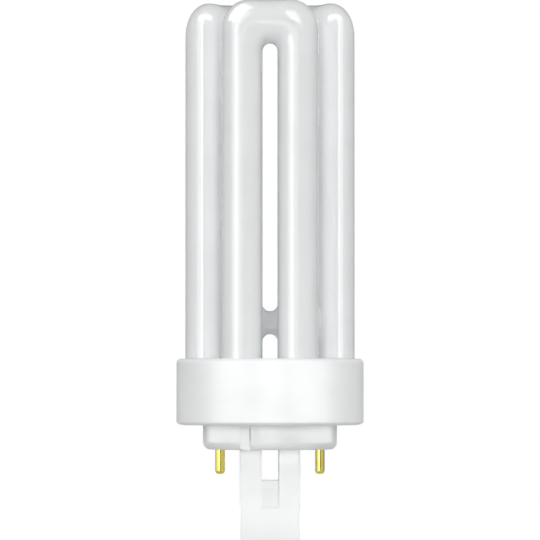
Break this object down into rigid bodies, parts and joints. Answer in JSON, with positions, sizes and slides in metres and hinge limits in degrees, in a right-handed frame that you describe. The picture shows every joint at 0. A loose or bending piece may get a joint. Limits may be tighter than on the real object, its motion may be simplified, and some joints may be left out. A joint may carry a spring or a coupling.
{
  "type": "four pin compact fluorescent lamp",
  "caption": "Plug-in compact fluorescent lamp: tall white glass U bends in a round collar, on a base plug with contact pins and a long latched post.",
  "frame": {"origin": "on the lamp's axis, in the plane of the boss's flat lower face, which rests on the lampholder", "axes": "+Z along the tubes, away from the base; the U bend between the two electrode legs' side faces -Y"},
  "size_m": [0.049, 0.049, 0.1431],
  "materials": {
    "coated_glass": "glossy, white coated inside, opaque",
    "white_plastic": "satin",
    "cement": "matte",
    "pin_brass": "polished",
    "lead_wire": "drawn"
  },
  "bodies": {
    "root": {"discharge_tube": "coated_glass", "collar": "white_plastic", "base_plug": "white_plastic", "tube_cement": "cement", "contact_pin_1": "pin_brass", "contact_pin_2": "pin_brass", "contact_pin_3": "pin_brass", "contact_pin_4": "pin_brass", "lead_wire_1": "lead_wire", "lead_wire_2": "lead_wire", "lead_wire_3": "lead_wire", "lead_wire_4": "lead_wire"}
  },
  "joints": []
}
